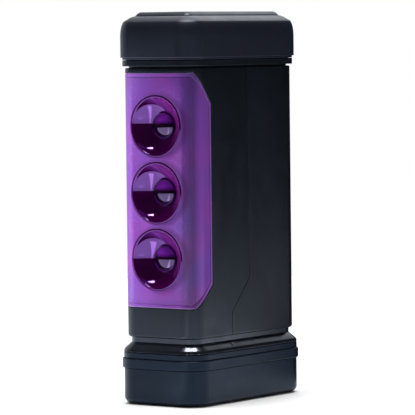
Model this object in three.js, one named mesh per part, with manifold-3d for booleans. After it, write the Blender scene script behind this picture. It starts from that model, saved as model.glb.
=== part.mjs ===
// UV sterilizer cabinet for hair-cutting tools: a slim tower on a wider base, with a violet window,
// a lift-off lid and a lift-out tool rack. Millimetres, +Z up, window facing -Y, origin on the floor
// under the middle of the tower.
import * as THREE from "three";
import { mergeVertices } from "three/addons/utils/BufferGeometryUtils.js";
import Module from "manifold-3d";

// ---- Driving dimensions -------------------------------------------------------------------------
// The tower's plan is one rounded rectangle. An "offset" is how far a surface stands outside it.
const BODY_WIDTH = 70;
const BODY_DEPTH = 140;
const CORNER_RADIUS = 14;
const CORNER_STEPS = 6;
const WALL = 2.5;
const GAP = 0.3;

// Heights of the stack, from the floor up.
const FOOT_HEIGHT = 1.5;
const BOOT_BOTTOM = 0.6;
const BOOT_TOP = 27.7;
const BELT_TOP = 35.3;
const RIM_BAND_TOP = 40;
const SHOULDER_TOP = 47.6;
const BODY_BOTTOM = 51.4;
const NECK_TOP = 60.4;
const BODY_TOP = 257.5;
const COLLAR_BOTTOM = 258.8;
const COLLAR_TOP = 263.4;
const RIM_TOP = 270;
const LID_EDGE = 265.4;
const LID_TOP = 296.2;
const TOTAL_HEIGHT = 300;

// How far each band of the stack stands outside the body's plan.
const BOOT_OFFSET = 3.3;
const BELT_OFFSET = 4.65;
const SHOULDER_OFFSET = 3.5;
const FOOT_OUTSIDE = -3.2;
const NECK_OFFSET = -2.8;
const COLLAR_OFFSET = 2.1;
const LID_OFFSET = 3.5;
const BORE_OFFSET = -4.8;

// Window, cups and the seam between the two body shells.
const WINDOW_BOTTOM = 74.5;
const WINDOW_TOP = 254.1;
const WINDOW_SIDE_Y = -45.5;
const WINDOW_CORNER_Y = -64;
const WINDOW_TOP_CHAMFER = 24;
const WINDOW_BOTTOM_CHAMFER = 18;
const WINDOW_THICKNESS = 2.3;
const CUP_RADIUS = 23;
const CUP_DEPTH = 11.5;
const CUP_FLOOR_RADIUS = 10.2;
const CUP_WALL = 1.8;
const CUP_SPACING = 50.8;
const CUP_MIDDLE_Z = 162.5;
const STUD_X = 22;
const SEAM_UPPER_Y = 3;
const SEAM_LOWER_Y = -20.7;
const SEAM_BEND_TOP = 95;
const SEAM_BEND_BOTTOM = 69.7;

// Chamber, rack and inner parts.
const CHAMBER_WIDTH = 59;
const CHAMBER_DEPTH = 100;
const CHAMBER_FLOOR = 54;
const CHAMBER_TOP = 245.6;
const SHEET = 1.2;
const RACK_TOP = 276;
const POST_X = 22;
const POST_Y = 50;
const CONTROL_Z = 15;
const BUTTON_X = -14;
const BUTTON_RADIUS = 6;
const BUTTON_TRAVEL = 1.2;
const PORT_X = 14;
const PORT_WIDTH = 9;
const PORT_HEIGHT = 3.4;
const PIPE_RADIUS = 1.5;

const FRONT_Y = -BODY_DEPTH / 2;
const REAR_Y = BODY_DEPTH / 2;
const CUP_HEIGHTS = [1, 0, -1].map((step) => CUP_MIDDLE_Z + step * CUP_SPACING);
const CUP_NAMES = ["top", "middle", "bottom"];

// ---- Solids -------------------------------------------------------------------------------------
const wasm = await Module();
wasm.setup();

function toSolid(geometry) {
  const bare = geometry.index ? geometry.toNonIndexed() : geometry.clone();
  bare.deleteAttribute("normal");
  bare.deleteAttribute("uv");
  const merged = mergeVertices(bare, 1e-4);
  return new wasm.Manifold(
    new wasm.Mesh({
      numProp: 3,
      vertProperties: merged.attributes.position.array,
      triVerts: new Uint32Array(merged.index.array),
    }),
  );
}

function toGeometry(solid) {
  const mesh = solid.getMesh();
  const geometry = new THREE.BufferGeometry();
  geometry.setAttribute("position", new THREE.BufferAttribute(mesh.vertProperties, 3));
  geometry.setIndex(new THREE.BufferAttribute(mesh.triVerts, 1));
  geometry.computeVertexNormals();
  return geometry;
}

function shape(base, { join = [], cut = [], keep = [] }) {
  let solid = toSolid(base);
  for (const piece of join) solid = solid.add(toSolid(piece));
  for (const piece of keep) solid = solid.intersect(toSolid(piece));
  for (const piece of cut) solid = solid.subtract(toSolid(piece));
  return toGeometry(solid);
}

// One horizontal ring of points round a rounded rectangle, anticlockwise from above.
function planRing(width, depth, radius, z) {
  const points = [];
  const corners = [
    [1, 1, 0],
    [-1, 1, 90],
    [-1, -1, 180],
    [1, -1, 270],
  ];
  for (const [sideX, sideY, start] of corners) {
    for (let step = 0; step <= CORNER_STEPS; step++) {
      const angle = THREE.MathUtils.degToRad(start + (90 * step) / CORNER_STEPS);
      points.push(
        sideX * (width / 2 - radius) + radius * Math.cos(angle),
        sideY * (depth / 2 - radius) + radius * Math.sin(angle),
        z,
      );
    }
  }
  return points;
}

// Skins a stack of rings of equal length. An open stack gets flat ends; a closed one joins up
// with its first ring, like a hoop.
function skin(rings, closed) {
  const count = rings[0].length / 3;
  const index = [];
  const bands = closed ? rings.length : rings.length - 1;
  for (let band = 0; band < bands; band++) {
    const low = band * count;
    const high = ((band + 1) % rings.length) * count;
    for (let i = 0; i < count; i++) {
      const next = (i + 1) % count;
      index.push(low + i, low + next, high + next, low + i, high + next, high + i);
    }
  }
  if (!closed) {
    const top = (rings.length - 1) * count;
    for (let i = 1; i < count - 1; i++) {
      index.push(0, i + 1, i, top, top + i, top + i + 1);
    }
  }
  const geometry = new THREE.BufferGeometry();
  geometry.setAttribute("position", new THREE.Float32BufferAttribute(rings.flat(), 3));
  geometry.setIndex(index);
  return geometry;
}

function offsetRing([offset, z]) {
  const radius = CORNER_RADIUS + offset;
  return planRing(BODY_WIDTH + 2 * offset, BODY_DEPTH + 2 * offset, radius, z);
}

// A solid block that follows the plan; the profile runs from its foot to its top.
function block(profile) {
  return skin(profile.map(offsetRing), false);
}

// A hoop that follows the plan; the profile runs up the outside and down the inside.
function hoop(profile) {
  return skin(profile.map(offsetRing), true);
}

function roundBox(width, depth, radius, bottom, top) {
  return skin([planRing(width, depth, radius, bottom), planRing(width, depth, radius, top)], false);
}

// Profile points on an arc in the offset-height plane; angles in degrees, 0 pointing outwards.
function arc(centreOffset, centreZ, radius, from, to, steps) {
  return Array.from({ length: steps + 1 }, (_, step) => {
    const angle = THREE.MathUtils.degToRad(from + ((to - from) * step) / steps);
    return [centreOffset + radius * Math.cos(angle), centreZ + radius * Math.sin(angle)];
  });
}

function box(low, high) {
  const size = high.map((value, axis) => value - low[axis]);
  const middle = high.map((value, axis) => (value + low[axis]) / 2);
  return new THREE.BoxGeometry(...size).translate(...middle);
}

function rod(radius, bottom, top, x, y, sides = 12) {
  const geometry = new THREE.CylinderGeometry(radius, radius, top - bottom, sides);
  return geometry.rotateX(Math.PI / 2).translate(x, y, (bottom + top) / 2);
}

// A turned piece whose axis points forwards, along -Y. The profile is [radius, distance forwards].
function turned(profile, x, y, z, sides) {
  const points = profile.map(([radius, forwards]) => new THREE.Vector2(radius, forwards));
  return new THREE.LatheGeometry(points, sides).rotateZ(Math.PI).translate(x, y, z);
}

// A round rod along Y at the height of the controls.
function rearRod(radius, x, front, rear) {
  const geometry = new THREE.CylinderGeometry(radius, radius, rear - front, 16);
  return geometry.translate(x, (front + rear) / 2, CONTROL_Z);
}

// A prism across the whole width, from an outline in the side view given as [y, z] points.
function sidePrism(outline) {
  const outlineShape = new THREE.Shape(outline.map(([y, z]) => new THREE.Vector2(y, z)));
  const reach = 2 * BODY_WIDTH;
  const prism = new THREE.ExtrudeGeometry(outlineShape, { depth: 2 * reach, bevelEnabled: false });
  const turn = new THREE.Matrix4().makeBasis(
    new THREE.Vector3(0, 1, 0),
    new THREE.Vector3(0, 0, 1),
    new THREE.Vector3(1, 0, 0),
  );
  return prism.applyMatrix4(turn).translate(-reach, 0, 0);
}

// A slab with a rounded-rectangle outline that stands upright, its faces to the front and rear.
function uprightSlab(width, height, radius, x, z, front, rear) {
  const ring = [planRing(width, height, radius, 0), planRing(width, height, radius, rear - front)];
  return skin(ring, false).rotateX(-Math.PI / 2).translate(x, front, z);
}

// ---- Regions that several pieces share ----------------------------------------------------------
// Everything in front of the seam between the shells, moved back by shift.
function frontOfSeam(shift) {
  const front = 2 * FRONT_Y;
  return sidePrism([
    [front, 0],
    [SEAM_LOWER_Y + shift, 0],
    [SEAM_LOWER_Y + shift, SEAM_BEND_BOTTOM],
    [SEAM_UPPER_Y + shift, SEAM_BEND_TOP],
    [SEAM_UPPER_Y + shift, TOTAL_HEIGHT],
    [front, TOTAL_HEIGHT],
  ]);
}

// The window's outline, made smaller all round by inset.
function windowRegion(inset) {
  const front = 2 * FRONT_Y;
  const bottom = WINDOW_BOTTOM + inset;
  const top = WINDOW_TOP - inset;
  const side = WINDOW_SIDE_Y - inset;
  const corner = WINDOW_CORNER_Y - inset / 2;
  return sidePrism([
    [front, bottom],
    [corner, bottom],
    [side, WINDOW_BOTTOM + WINDOW_BOTTOM_CHAMFER + inset / 2],
    [side, WINDOW_TOP - WINDOW_TOP_CHAMFER - inset / 2],
    [corner, top],
    [front, top],
  ]);
}

// ---- Body ---------------------------------------------------------------------------------------
function bodyHoop() {
  const edge = 2;
  return hoop([
    [-WALL, BODY_BOTTOM],
    ...arc(-edge, BODY_BOTTOM + edge, edge, -90, 0, 2),
    ...arc(-edge / 2, BODY_TOP - edge / 2, edge / 2, 0, 90, 2),
    [-WALL, BODY_TOP],
  ]);
}

function frontShell() {
  return shape(bodyHoop(), { keep: [frontOfSeam(0)], cut: [windowRegion(0)] });
}

// The rear shell carries a lip that reaches inside the front shell along the seam.
function rearShell() {
  const lipReach = 4;
  const lipRoot = 6;
  const lipBottom = NECK_TOP + 1.6;
  const lipTop = CHAMBER_TOP - 2.6;
  const lipInside = -WALL - 1.8;
  const tongue = shape(
    hoop([
      [lipInside, lipBottom],
      [-WALL - GAP, lipBottom],
      [-WALL - GAP, lipTop],
      [lipInside, lipTop],
    ]),
    { keep: [frontOfSeam(lipRoot)], cut: [frontOfSeam(-lipReach)] },
  );
  const root = shape(
    hoop([
      [lipInside, lipBottom],
      [-WALL + 1, lipBottom],
      [-WALL + 1, lipTop],
      [lipInside, lipTop],
    ]),
    { keep: [frontOfSeam(lipRoot)], cut: [frontOfSeam(GAP)] },
  );
  const wall = shape(bodyHoop(), { cut: [frontOfSeam(GAP)] });
  return shape(wall, { join: [root, tongue] });
}

// A cup is a shallow spherical bowl pressed into the window, with a flat floor for its lens.
function cupSphereRadius() {
  const rise = (CUP_RADIUS ** 2 - CUP_FLOOR_RADIUS ** 2 - CUP_DEPTH ** 2) / (2 * CUP_DEPTH);
  return Math.hypot(CUP_RADIUS, rise);
}

function cupBowl(thickness, z) {
  const inner = cupSphereRadius();
  const centre = Math.sqrt(inner ** 2 - CUP_RADIUS ** 2);
  const radius = inner + thickness;
  const floor = centre + CUP_DEPTH + thickness;
  const mouth = thickness > 0 ? centre + thickness / 2 : 0;
  const from = Math.acos(mouth / radius);
  const to = Math.acos(floor / radius);
  const steps = 5;
  const wall = Array.from({ length: steps + 1 }, (_, step) => {
    const angle = to + ((from - to) * step) / steps;
    return [radius * Math.sin(angle), centre - radius * Math.cos(angle)];
  });
  const last = wall[wall.length - 1];
  return turned([[0, wall[0][1]], ...wall, [0, last[1]]], 0, FRONT_Y, z, 28);
}

// A round stud on the panel's back, between two cups.
function panelStud(x, z) {
  const radius = 4.5;
  const back = -5;
  const root = -WINDOW_THICKNESS + 0.8;
  return turned([[0, back], [radius, back], [radius, root], [0, root]], x, FRONT_Y, z, 12);
}

function windowPanel() {
  const skinHoop = hoop([
    [-WINDOW_THICKNESS, WINDOW_BOTTOM + GAP],
    [0, WINDOW_BOTTOM + GAP],
    [0, WINDOW_TOP - GAP],
    [-WINDOW_THICKNESS, WINDOW_TOP - GAP],
  ]);
  const panel = shape(skinHoop, { keep: [windowRegion(GAP)] });
  const studHeights = [-1.5, -0.5, 0.5, 1.5].map((step) => CUP_MIDDLE_Z + step * CUP_SPACING);
  const studs = studHeights.flatMap((z) => [panelStud(-STUD_X, z), panelStud(STUD_X, z)]);
  return shape(panel, {
    join: [...studs, ...CUP_HEIGHTS.map((z) => cupBowl(CUP_WALL, z))],
    cut: CUP_HEIGHTS.map((z) => cupBowl(0, z)),
  });
}

// A lens with a flat flange and a low dome, lying on the floor of a cup.
function sightLens(z) {
  const radius = CUP_FLOOR_RADIUS - GAP;
  const domeRadius = 8.5;
  const dome = 3.5;
  const back = -CUP_DEPTH + GAP;
  const flange = back + 1;
  const sphere = (domeRadius ** 2 + dome ** 2) / (2 * dome);
  const steps = 4;
  const front = Array.from({ length: steps + 1 }, (_, step) => {
    const r = (domeRadius * (steps - step)) / steps;
    return [r, flange + dome - sphere + Math.sqrt(sphere ** 2 - r ** 2)];
  });
  return turned([[0, back], [radius, back], [radius, flange], ...front], 0, FRONT_Y, z, 20);
}

function collarRing() {
  const spigotBottom = CHAMBER_TOP + 0.4;
  const edge = 0.6;
  const rimOffset = -0.8;
  return hoop([
    [BORE_OFFSET, spigotBottom],
    [NECK_OFFSET, spigotBottom],
    [NECK_OFFSET, COLLAR_BOTTOM],
    [COLLAR_OFFSET - edge, COLLAR_BOTTOM],
    [COLLAR_OFFSET, COLLAR_BOTTOM + edge],
    [COLLAR_OFFSET, COLLAR_TOP],
    [rimOffset, COLLAR_TOP],
    [rimOffset, RIM_TOP],
    [BORE_OFFSET, RIM_TOP],
  ]);
}

// ---- Base ---------------------------------------------------------------------------------------
const SKIRT_OFFSET = 0.5;
const SKIRT_INSIDE = -2;
const DECK_BOTTOM = 50;
const DECK_TOP = 52;
const PLATE_TOP = 4;
const FLANGE_OFFSET = -6;
const SCREW_HOLE_RADIUS = 1.8;
const CABLE_Y = 59;

// The sloping shoulder with the neck that plugs into the body, the deck under the chamber and
// four screw posts.
function baseCover() {
  const round = 3.6;
  const skirtBottom = 24;
  const shell = hoop([
    [SKIRT_INSIDE, skirtBottom],
    [SKIRT_OFFSET, skirtBottom],
    [SKIRT_OFFSET, RIM_BAND_TOP + GAP],
    [SHOULDER_OFFSET, RIM_BAND_TOP + GAP],
    ...arc(SHOULDER_OFFSET - round, RIM_BAND_TOP + 0.6, round, 0, 45, 2),
    [NECK_OFFSET, SHOULDER_TOP],
    [NECK_OFFSET, NECK_TOP],
    [BORE_OFFSET, NECK_TOP],
    [BORE_OFFSET, SHOULDER_TOP - 3],
    [SKIRT_INSIDE, RIM_BAND_TOP + 2],
  ]);
  const deck = block([
    [BORE_OFFSET + 1, DECK_BOTTOM],
    [BORE_OFFSET + 1, DECK_TOP],
  ]);
  const posts = fourCorners((x, y) => rod(4, PLATE_TOP + GAP, DECK_BOTTOM + 1, x, y));
  const screwDepth = 10;
  const screwHoles = fourCorners((x, y) =>
    rod(SCREW_HOLE_RADIUS, PLATE_TOP, PLATE_TOP + screwDepth, x, y),
  );
  const cableHole = rod(4, DECK_BOTTOM - 1, DECK_TOP + 1, 0, CABLE_Y);
  return shape(shell, { join: [deck, ...posts], cut: [...screwHoles, cableHole] });
}

function fourCorners(make) {
  return [
    [POST_X, POST_Y],
    [-POST_X, POST_Y],
    [-POST_X, -POST_Y],
    [POST_X, -POST_Y],
  ].map(([x, y]) => make(x, y));
}

function baseBelt() {
  const edge = 0.5;
  const bottom = BOOT_TOP + GAP;
  return hoop([
    [SKIRT_OFFSET + GAP, bottom],
    [BELT_OFFSET - edge, bottom],
    [BELT_OFFSET, bottom + edge],
    [BELT_OFFSET, BELT_TOP - edge],
    [BELT_OFFSET - edge, BELT_TOP],
    [SKIRT_OFFSET + GAP, BELT_TOP],
  ]);
}

// The narrower band between the belt and the sloping shoulder.
function rimBand() {
  const edge = 0.4;
  const bottom = BELT_TOP + GAP;
  return hoop([
    [SKIRT_OFFSET + GAP, bottom],
    [SHOULDER_OFFSET, bottom],
    [SHOULDER_OFFSET, RIM_BAND_TOP - edge],
    [SHOULDER_OFFSET - edge, RIM_BAND_TOP],
    [SKIRT_OFFSET + GAP, RIM_BAND_TOP],
  ]);
}

function baseBoot() {
  const round = 5;
  const grooveTop = FOOT_HEIGHT + GAP;
  const grooveOutside = FOOT_OUTSIDE + GAP;
  const inside = SKIRT_OFFSET + 0.4;
  const clampOffset = -8.5;
  const clampTop = PLATE_TOP + 2;
  const hull = hoop([
    [FLANGE_OFFSET, grooveTop],
    [grooveOutside, grooveTop],
    [grooveOutside, BOOT_BOTTOM],
    ...arc(BOOT_OFFSET - round, BOOT_BOTTOM + round, round, -90, 0, 4),
    [BOOT_OFFSET, BOOT_TOP],
    [inside, BOOT_TOP],
    [inside, clampTop + 1],
    [SKIRT_INSIDE, clampTop],
    [clampOffset, clampTop],
    [clampOffset, PLATE_TOP + GAP],
    [FLANGE_OFFSET, PLATE_TOP + GAP],
  ]);
  const front = REAR_Y - 5;
  const rear = REAR_Y + 5;
  return shape(hull, {
    cut: [
      rearRod(BUTTON_RADIUS + GAP, BUTTON_X, front, rear),
      rearRod(PIPE_RADIUS + GAP, 0, front, rear),
      uprightSlab(PORT_WIDTH + 0.8, PORT_HEIGHT + 0.8, 2, PORT_X, CONTROL_Z, front, rear),
    ],
  });
}

function basePlate() {
  const plate = block([
    [FLANGE_OFFSET - GAP, BOOT_BOTTOM + 0.4],
    [FLANGE_OFFSET - GAP, PLATE_TOP],
  ]);
  const holes = fourCorners((x, y) => rod(SCREW_HOLE_RADIUS, 0, PLATE_TOP + 1, x, y));
  const headSeats = fourCorners((x, y) => rod(3.3, 0, BOOT_BOTTOM + 2.4, x, y));
  return shape(plate, { cut: [...holes, ...headSeats] });
}

function baseScrew(x, y) {
  const headBottom = BOOT_BOTTOM + 0.6;
  const headTop = BOOT_BOTTOM + 2.1;
  const shankRadius = SCREW_HOLE_RADIUS - GAP;
  const slotHalf = 1.8;
  const slotWidthHalf = 0.35;
  const slotTop = headBottom + 0.8;
  const slot = (alongX, alongY) =>
    box([x - alongX, y - alongY, 0], [x + alongX, y + alongY, slotTop]);
  return shape(rod(2.9, headBottom, headTop, x, y), {
    join: [rod(shankRadius, headBottom + 1, PLATE_TOP + 9, x, y)],
    cut: [slot(slotHalf, slotWidthHalf), slot(slotWidthHalf, slotHalf)],
  });
}

function footRing() {
  const inside = FLANGE_OFFSET + 0.2;
  return hoop([
    [inside, 0],
    [FOOT_OUTSIDE, 0],
    [FOOT_OUTSIDE, FOOT_HEIGHT],
    [inside, FOOT_HEIGHT],
  ]);
}

// ---- Chamber and lamps --------------------------------------------------------------------------
const CONTROL_BOARD_Y = 57;
const CONTROL_BOARD_HEIGHT = 18;
const CONTROL_BOARD_TOP = CONTROL_Z + CONTROL_BOARD_HEIGHT / 2;
const SENSOR_Y = 57;
const LAMP_LENGTH = 152;
const LAMP_BOTTOM = CUP_MIDDLE_Z - LAMP_LENGTH / 2;
const LAMP_TOP = CUP_MIDDLE_Z + LAMP_LENGTH / 2;

// An open-topped tub of bright sheet with a flange that rests under the collar. Its front wall
// is cut away towards the window and its rear wall has a slot for the lamps.
function chamberLiner() {
  const corner = 8;
  const tub = roundBox(CHAMBER_WIDTH, CHAMBER_DEPTH, corner, CHAMBER_FLOOR, CHAMBER_TOP - 0.5);
  const flange = block([
    [NECK_OFFSET - GAP, CHAMBER_TOP - 1.8],
    [NECK_OFFSET - GAP, CHAMBER_TOP],
  ]);
  const hollow = roundBox(
    CHAMBER_WIDTH - 2 * SHEET,
    CHAMBER_DEPTH - 2 * SHEET,
    corner - SHEET,
    CHAMBER_FLOOR + SHEET,
    CHAMBER_TOP + 1,
  );
  const rearWall = CHAMBER_DEPTH / 2;
  return shape(tub, {
    join: [flange],
    cut: [
      hollow,
      uprightSlab(40, 164, 5, 0, CUP_MIDDLE_Z - 7, -rearWall - 2, -rearWall + 2 * SHEET),
      uprightSlab(16, LAMP_LENGTH - 8, 3, 0, CUP_MIDDLE_Z, rearWall - 2 * SHEET, rearWall + 2),
    ],
  });
}

// The lamps stand in layers behind the chamber's rear wall, each GAP behind the one in front.
const COVER_THICKNESS = 1.2;
const LED_THICKNESS = 1.6;
const BOARD_THICKNESS = 1.6;
const COVER_Y = CHAMBER_DEPTH / 2 + GAP;
const LED_Y = COVER_Y + COVER_THICKNESS + GAP;
const BOARD_Y = LED_Y + LED_THICKNESS + GAP;
const SINK_Y = BOARD_Y + BOARD_THICKNESS + GAP;
const SINK_HALF_WIDTH = 12;

function lampCover() {
  return uprightSlab(20, LAMP_LENGTH, 2, 0, CUP_MIDDLE_Z, COVER_Y, COVER_Y + COVER_THICKNESS);
}

// A square package with a low dome towards the chamber.
function uvLed(z) {
  const half = 3.5;
  const back = LED_Y + LED_THICKNESS;
  const base = box([-half, back - 0.8, z - half], [half, back, z + half]);
  const dome = turned([[0, -1.2], [2.6, -1.2], [2.3, -0.5], [1.3, -0.1], [0, 0]], 0, LED_Y, z, 12);
  return shape(base, { join: [dome] });
}

function lampBoard() {
  const width = 2 * SINK_HALF_WIDTH;
  const back = BOARD_Y + BOARD_THICKNESS;
  return uprightSlab(width, LAMP_LENGTH + 6, 2, 0, CUP_MIDDLE_Z - 3, BOARD_Y, back);
}

function heatSink() {
  const bottom = LAMP_BOTTOM + 8;
  const finHalf = 0.6;
  const finSpacing = 5;
  const base = box([-SINK_HALF_WIDTH, SINK_Y, bottom], [SINK_HALF_WIDTH, SINK_Y + 2, LAMP_TOP]);
  const fins = [-2, -1, 0, 1, 2].map((step) => {
    const x = step * finSpacing;
    return box([x - finHalf, SINK_Y + 1, bottom], [x + finHalf, SINK_Y + 8, LAMP_TOP]);
  });
  return shape(base, { join: fins });
}

// The lead from the back of the lamp board, down through the deck to the control board's edge.
function lampCable() {
  const radius = 1.4;
  const route = new THREE.CatmullRomCurve3([
    new THREE.Vector3(0, SINK_Y + radius, LAMP_BOTTOM + 4),
    new THREE.Vector3(0, SINK_Y + radius + 0.4, LAMP_BOTTOM - 8),
    new THREE.Vector3(0, CABLE_Y + 0.5, DECK_BOTTOM + 12),
    new THREE.Vector3(0, CABLE_Y, DECK_BOTTOM),
    new THREE.Vector3(0, CONTROL_BOARD_Y + 1, CONTROL_BOARD_TOP + 10),
    new THREE.Vector3(0, CONTROL_BOARD_Y + 0.8, CONTROL_BOARD_TOP + GAP),
  ]);
  const sides = 8;
  const section = new THREE.Shape(
    Array.from({ length: sides }, (_, side) => {
      const angle = (2 * Math.PI * side) / sides;
      return new THREE.Vector2(radius * Math.cos(angle), radius * Math.sin(angle));
    }),
  );
  return new THREE.ExtrudeGeometry(section, { steps: 16, extrudePath: route });
}

// Senses the magnet in the lid and stops the lamps when the lid is off.
function lidSensor() {
  const bottom = CHAMBER_TOP + GAP;
  return box([-8, SENSOR_Y - 3, bottom], [8, SENSOR_Y + 3, bottom + 13.7]);
}

// ---- Electronics in the base --------------------------------------------------------------------
const CONTROL_BOARD_BACK = CONTROL_BOARD_Y + BOARD_THICKNESS;
const SWITCH_Y = CONTROL_BOARD_BACK + GAP;
const PLUNGER_END = SWITCH_Y + 5.5;

function controlBoard() {
  const height = CONTROL_BOARD_HEIGHT;
  return uprightSlab(50, height, 1, 0, CONTROL_Z, CONTROL_BOARD_Y, CONTROL_BOARD_BACK);
}

function keySwitch() {
  const half = 3;
  const can = box(
    [BUTTON_X - half, SWITCH_Y, CONTROL_Z - half],
    [BUTTON_X + half, SWITCH_Y + 4, CONTROL_Z + half],
  );
  return shape(can, { join: [rearRod(1.7, BUTTON_X, SWITCH_Y + 3, PLUNGER_END)] });
}

function powerButton() {
  const back = REAR_Y - 1.5;
  const cap = rearRod(BUTTON_RADIUS, BUTTON_X, back, REAR_Y + 4);
  const flange = rearRod(BUTTON_RADIUS + 1.3, BUTTON_X, back, back + 1.9);
  const stem = rearRod(2, BUTTON_X, PLUNGER_END + GAP + BUTTON_TRAVEL, REAR_Y);
  return shape(cap, { join: [flange, stem] });
}

function chargingPort() {
  const lip = 0.4;
  const front = CONTROL_BOARD_BACK + GAP;
  const rear = REAR_Y + 2.8;
  const depth = 7;
  const shell = uprightSlab(PORT_WIDTH, PORT_HEIGHT, 1.6, PORT_X, CONTROL_Z, front, rear);
  const mouthWidth = PORT_WIDTH - 2 * lip;
  const mouthHeight = PORT_HEIGHT - 2 * lip;
  const mouth = uprightSlab(mouthWidth, mouthHeight, 1.2, PORT_X, CONTROL_Z, rear - depth, rear + 1);
  const tongue = box(
    [PORT_X - 3.2, rear - depth - 1, CONTROL_Z - lip],
    [PORT_X + 3.2, rear - 1, CONTROL_Z + lip],
  );
  return shape(shape(shell, { cut: [mouth] }), { join: [tongue] });
}

function lightPipe() {
  return rearRod(PIPE_RADIUS, 0, CONTROL_BOARD_BACK + GAP, REAR_Y + 3.2);
}

// Two round cells side by side in one sleeve.
function batteryPack() {
  const cell = 18.6;
  const middle = PLATE_TOP + 2 + cell / 2;
  const front = -40;
  return uprightSlab(2 * cell, cell, cell / 2 - 0.01, 0, middle, front, front + 66);
}

// ---- Lid ----------------------------------------------------------------------------------------
const LID_INNER_OFFSET = 0.6;
const COVER_OFFSET = -8.2;
const LID_LINER_TOP = 282.5;
const LID_LINER_BOTTOM = 272.9;

function lidShell() {
  const round = 8;
  const edge = 0.8;
  const outside = block([
    [COLLAR_OFFSET, COLLAR_TOP + GAP],
    [COLLAR_OFFSET, LID_EDGE],
    [LID_OFFSET - edge, LID_EDGE],
    [LID_OFFSET, LID_EDGE + edge],
    [LID_OFFSET, LID_EDGE + 12],
    ...arc(LID_OFFSET - round - 0.2, LID_TOP - round - 0.6, round, 0, 90, 4),
    [COVER_OFFSET, LID_TOP],
  ]);
  const hollowRound = 6.5;
  const hollowSide = LID_TOP - 10;
  const inside = block([
    [LID_INNER_OFFSET, COLLAR_TOP - 1],
    ...arc(LID_INNER_OFFSET - hollowRound, hollowSide, hollowRound, 0, 90, 2),
  ]);
  return shape(outside, { cut: [inside] });
}

function lidTopCover() {
  const round = 3.4;
  return block([
    [COVER_OFFSET, LID_TOP + GAP],
    ...arc(COVER_OFFSET - round, TOTAL_HEIGHT - round, round, 0, 90, 3),
  ]);
}

function lidLiner() {
  const outside = block([
    [LID_INNER_OFFSET - 0.4, LID_LINER_BOTTOM],
    [LID_INNER_OFFSET - 0.4, LID_LINER_TOP],
  ]);
  const inside = block([
    [LID_INNER_OFFSET - 2, LID_LINER_BOTTOM - 1],
    [LID_INNER_OFFSET - 2, LID_LINER_TOP - 1.5],
  ]);
  return shape(outside, { cut: [inside] });
}

function lidSeal() {
  return hoop([
    [-3.8, RIM_TOP + 0.4],
    [0.2, RIM_TOP + 0.4],
    [0.2, LID_LINER_BOTTOM - GAP],
    [-3.8, LID_LINER_BOTTOM - GAP],
  ]);
}

function lidMagnet() {
  const top = LID_LINER_TOP - 1.5 - GAP;
  return rod(5, top - 4, top, 0, SENSOR_Y, 16);
}

// ---- Tool rack ----------------------------------------------------------------------------------
const TRAY_WIDTH = 54;
const TRAY_DEPTH = 92;
const TRAY_BOTTOM = CHAMBER_FLOOR + SHEET + 0.5;
const DIVIDER_HALF = 1.5;
const GRIP_SLOT_LENGTH = 64;
const GRIP_SLOT_HEIGHT = 20;
const GRIP_SLOT_Z = RACK_TOP - 20;

function rackTray() {
  const wall = 2;
  const outside = roundBox(TRAY_WIDTH, TRAY_DEPTH, 6, TRAY_BOTTOM, TRAY_BOTTOM + 12);
  const inside = roundBox(
    TRAY_WIDTH - 2 * wall,
    TRAY_DEPTH - 2 * wall,
    6 - wall,
    TRAY_BOTTOM + wall,
    TRAY_BOTTOM + 13,
  );
  return shape(outside, { cut: [inside] });
}

// The upright plate between the two compartments narrows towards its grip.
function rackDivider() {
  const foot = TRAY_BOTTOM + 2 + GAP;
  const halfDepth = TRAY_DEPTH / 2 - 4;
  const neck = GRIP_SLOT_LENGTH / 2 + 8;
  const plate = sidePrism([
    [-halfDepth, foot],
    [halfDepth, foot],
    [halfDepth, GRIP_SLOT_Z - 30],
    [neck, GRIP_SLOT_Z - 12],
    [neck, RACK_TOP],
    [-neck, RACK_TOP],
    [-neck, GRIP_SLOT_Z - 12],
    [-halfDepth, GRIP_SLOT_Z - 30],
  ]);
  const slab = box([-DIVIDER_HALF, -BODY_DEPTH, 0], [DIVIDER_HALF, BODY_DEPTH, TOTAL_HEIGHT]);
  const slotRing = (x) =>
    planRing(GRIP_SLOT_HEIGHT, GRIP_SLOT_LENGTH, GRIP_SLOT_HEIGHT / 2 - 0.01, x);
  const slot = skin([slotRing(-5), slotRing(5)], false).rotateY(Math.PI / 2);
  return shape(plate, { keep: [slab], cut: [slot.translate(0, 0, GRIP_SLOT_Z)] });
}

// A soft sleeve over the top edge of the divider.
function rackGrip() {
  const halfLength = GRIP_SLOT_LENGTH / 2 - 2;
  const bottom = RACK_TOP - 7;
  const outer = box([-4, -halfLength, bottom], [4, halfLength, RACK_TOP + 2.6]);
  const channel = box(
    [-DIVIDER_HALF - GAP, -halfLength - 1, bottom - 1],
    [DIVIDER_HALF + GAP, halfLength + 1, RACK_TOP + GAP],
  );
  return shape(outer, { cut: [channel] });
}

// ---- Materials ----------------------------------------------------------------------------------
function material(color, roughness, metalness = 0, opacity = 1) {
  return new THREE.MeshStandardMaterial({
    color,
    roughness,
    metalness,
    opacity,
    transparent: opacity < 1,
  });
}

const blackPlastic = material("#1b1e24", 0.38);
const bootPlastic = material("#20252d", 0.34);
const violetPlastic = material("#6a2f92", 0.3, 0, 0.8);
const violetLens = material("#8a62b4", 0.08, 0, 0.6);
const rubber = material("#101112", 0.85);
const brightSheet = material("#c9ccd0", 0.2, 1);
const steel = material("#9a9da1", 0.3, 1);
const board = material("#17482f", 0.5);
const clearCover = material("#e8eef2", 0.05, 0, 0.35);
const sleeve = material("#2b5d9c", 0.45);
const ledPackage = material("#e9e2c6", 0.35);
const rackPlastic = material("#d9dadc", 0.45);

// ---- Assembly -----------------------------------------------------------------------------------
function piece(name, geometry, finish) {
  const mesh = new THREE.Mesh(geometry, finish);
  mesh.name = name;
  return mesh;
}

function assembly(...pieces) {
  const group = new THREE.Group();
  group.add(...pieces);
  return group;
}

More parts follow.
